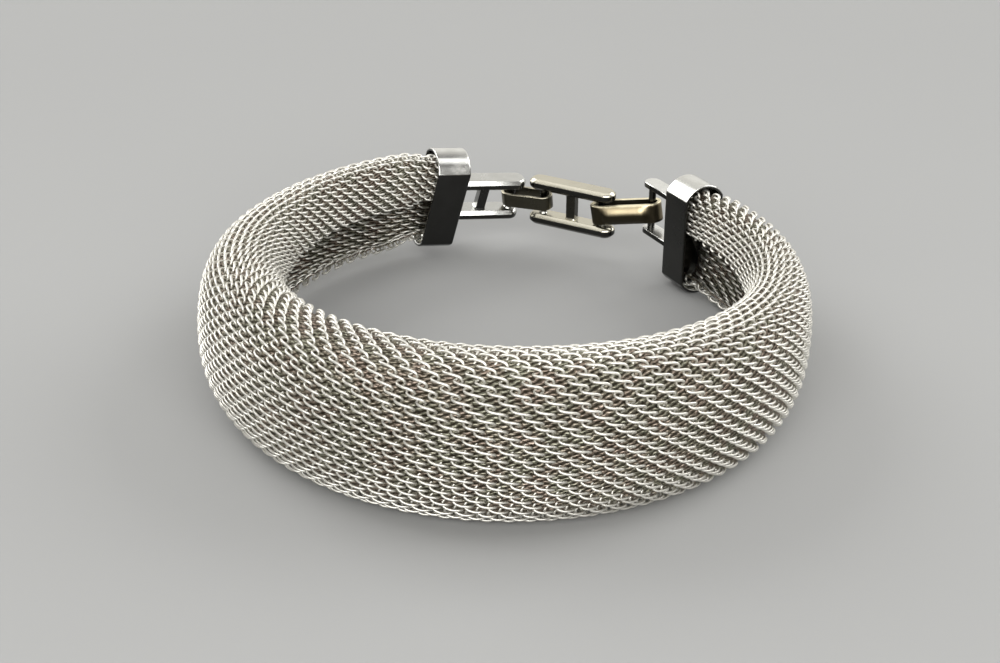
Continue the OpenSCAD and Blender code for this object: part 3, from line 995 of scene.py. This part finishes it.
class BRACELET_OT_woven_band(bpy.types.Operator):
    """Weave the band from wire spirals that follow its rolled sheet, and lay a dark inner sheet of
    painted shade between them
    """
    bl_idname = "bracelet.woven_band"
    bl_label = "Woven band"

    def execute(self, context):
        weave = context.scene.bracelet_weave
        guide = guide_mesh("weave_guide", GUIDE_ROWS, GUIDE_COLUMNS)
        margin = weave.half_width + END_ROOM
        step = 1.0 / (weave.columns - 1 + 2 * margin)
        sizes = {"First Column": 0, "Columns": weave.columns, "Column Step": step,
                 "Margin": margin * step}
        for label in SPIRAL_INPUTS:
            sizes[label] = getattr(weave, label.lower().replace(" ", "_"))
        tree = weave_tree(sizes)
        sizes["Material"] = bpy.data.materials["woven_wire"]
        first = 0
        for k in range(1, weave.pieces + 1):
            last = round(weave.columns * k / weave.pieces)
            sizes.update({"First Column": first, "Columns": last - first})
            name = f"woven_band_{k}"
            piece = new_object(name, grown_mesh(guide, tree, sizes, name))
            mounted(piece, "woven_wire", "mesh_band")
            first = last
        bpy.data.meshes.remove(guide)
        # A dark inner sheet as painted shade between the wires
        inner = guide_mesh("woven_band_core", CORE_ROWS, CORE_COLUMNS, weave.core_sink)
        inner.materials.append(bpy.data.materials["inner_wire"])
        inner.shade_smooth()
        core = new_object("woven_band_core", inner)
        thick = core.modifiers.new("thickness", "SOLIDIFY")
        thick.thickness, thick.offset = weave.core_thickness, 0.0
        mounted(core, "woven_wire", "mesh_band")
        return {"FINISHED"}


class BRACELET_OT_end_caps(bpy.types.Operator):
    """Build the left cap with its ladder and the right cap with its lugs"""
    bl_idname = "bracelet.end_caps"
    bl_label = "End caps"

    def execute(self, context):
        clasp = context.scene.bracelet_clasp
        places = clasp_places()
        left, right = places["left_cap"], places["right_cap"]
        bm = started()
        cap_body(bm, left, clasp.cap_edge, clasp.left_corner)
        ladder = left @ Matrix.Translation((CAP_LEN, 0, LADDER_RISE))
        for z in (-RAIL_Z, RAIL_Z):
            rail(bm, -BITE, LEFT_RUNG + LEFT_RAIL_OVER, z, clasp.rail_edge, ladder, False)
        flat_rung(bm, FIRST_RUNG, ladder)
        round_rung(bm, LEFT_RUNG, ladder)
        finished("left_cap_and_ladder", bm, "cap_plate", "polished_metal", "end_cap_left")
        bm = started()
        cap_body(bm, right, clasp.cap_edge, clasp.right_corner)
        for side in (-1, 1):
            lug(bm, LUG_RISE + side * LUG_GAP / 2, right, clasp.lug_edge)
        finished("right_cap_and_lugs", bm, "cap_plate", "polished_metal", "end_cap_right")
        return {"FINISHED"}


class BRACELET_OT_links(bpy.types.Operator):
    """Build the loose ladder link, the connector strip and the hinge pin"""
    bl_idname = "bracelet.links"
    bl_label = "Links"

    def execute(self, context):
        clasp = context.scene.bracelet_clasp
        places = clasp_places()
        bm = started()
        end = RUNG_GAP + RAIL_OVER
        for side in (-1, 1):
            rail(bm, -end, end, side * RAIL_Z, clasp.rail_edge, places["link"], True)
            round_rung(bm, side * RUNG_GAP, places["link"])
        flat_rung(bm, 0, places["link"])
        finished("ladder_link_cast", bm, "link_plate", "link_metal", "ladder_link")
        bm = started()
        strip_loop(bm, places["connector"], CONNECTOR_T, CONNECTOR_H)
        finished("connector_strip", bm, "connector_plate", "link_metal", "connector_loop")
        bm = started()
        half = (LUG_GAP + LUG_T) / 2 - PIN_SHY
        profile = corner_steps(-half, half, PIN_EDGE, 3)
        plate(bm, lambda inset: ring_of(PIN_D / 2 - inset, 28), profile, places["pin"])
        finished("clip_pin", bm, "link_plate", "link_metal", "hinge_pin")
        return {"FINISHED"}


class BRACELET_OT_clip(bpy.types.Operator):
    """Build the fold-over clip with its crowned wrist side"""
    bl_idname = "bracelet.clip"
    bl_label = "Clip"

    def execute(self, context):
        bm = started()
        strip_loop(bm, clasp_places()["clip"], CLIP_T, CLIP_H, crown=CLIP_CROWN)
        finished("fold_over_clip", bm, "clip_plate", "clip_brass", "clasp_clip")
        return {"FINISHED"}


class BRACELET_OT_stage(bpy.types.Operator):
    """Lay the floor, hang the lights and set the camera"""
    bl_idname = "bracelet.stage"
    bl_label = "Stage"

    def lay_floor(self, stage):
        build, shader, coords = finish_start("floor_plain", metallic=0.0)
        shade = build.noise(coords["Object"], scale=14.0, detail=3.0)
        low = rgba([c * 0.97 for c in stage.floor_colour])
        build.fill(shader, {"Base Color": build.mix(shade, low, rgba(stage.floor_colour)),
                            "Roughness": 1.0, "Specular IOR Level": 0.1})
        size = stage.floor_size
        corners = ((-size, -size, 0), (size, -size, 0), (size, size, 0), (-size, size, 0))
        mesh = bpy.data.meshes.new("floor")
        mesh.from_pydata(corners, [], ((0, 1, 2, 3),))
        mesh.materials.append(bpy.data.materials["floor_plain"])
        new_object("floor", mesh)

    def light(self, scene, stage):
        for name, setting, size, place in SOFTBOXES:
            light = bpy.data.lights.new(name, "AREA")
            light.shape = "RECTANGLE"
            light.size, light.size_y = size
            light.energy = getattr(stage, setting)
            lamp = new_object(name, light)
            lamp.location = place
            aim = Vector((0, 0, 0)) - Vector(place)
            lamp.rotation_euler = aim.to_track_quat("-Z", "Y").to_euler()
        world = bpy.data.worlds.new("studio")
        world.use_nodes = True
        room = world.node_tree.nodes["Background"]
        build = Tree(world.node_tree)
        way = build.add("ShaderNodeTexCoord").outputs["Generated"]
        glow = build.remap(build.part(way, "Y"), low=0.3, high=0.85, new_low=0.2)
        build.fill(room, {"Strength": build.times(glow, stage.room_light), "Color": ROOM_COLOUR})
        scene.world = world
        scene.view_settings.view_transform = "Standard"

    def execute(self, context):
        scene, stage = context.scene, context.scene.bracelet_stage
        self.lay_floor(stage)
        self.light(scene, stage)
        camera = bpy.data.cameras.new("camera")
        camera.lens, camera.sensor_width = stage.lens, SENSOR_WIDTH
        camera.sensor_fit = "HORIZONTAL"
        camera.clip_start, camera.clip_end = CLIP_RANGE
        eye = new_object("camera", camera)
        eye.location = EYE_PLACE
        eye.rotation_euler = (math.radians(EYE_TILT), 0, 0)
        scene.camera = eye
        return {"FINISHED"}


class BRACELET_PT_panel(bpy.types.Panel):
    """Lists the steps and the settings of the bracelet"""
    bl_idname = "BRACELET_PT_panel"
    bl_label = "Woven Wire Bracelet"
    bl_space_type = "VIEW_3D"
    bl_region_type = "UI"
    bl_category = "Bracelet"

    def draw(self, context):
        for step in STEPS:
            self.layout.operator(step.bl_idname)
        for name, settings in SETTINGS.items():
            box = self.layout.box()
            for key in settings.__annotations__:
                box.prop(getattr(context.scene, name), key)


SETTINGS = {"bracelet_weave": WeaveSettings, "bracelet_clasp": ClaspSettings,
            "bracelet_finish": FinishSettings, "bracelet_stage": StageSettings}
STEPS = (BRACELET_OT_finishes, BRACELET_OT_woven_band, BRACELET_OT_end_caps, BRACELET_OT_links,
         BRACELET_OT_clip, BRACELET_OT_stage)


def register():
    for cls in (*SETTINGS.values(), *STEPS, BRACELET_PT_panel):
        bpy.utils.register_class(cls)
    for name, settings in SETTINGS.items():
        setattr(bpy.types.Scene, name, PointerProperty(type=settings))


def unregister():
    for name in SETTINGS:
        delattr(bpy.types.Scene, name)
    for cls in (BRACELET_PT_panel, *reversed(STEPS), *reversed(list(SETTINGS.values()))):
        bpy.utils.unregister_class(cls)


def main():
    register()
    for step in STEPS:
        family, name = step.bl_idname.split(".")
        getattr(getattr(bpy.ops, family), name)()


if __name__ == "__main__":
    main()
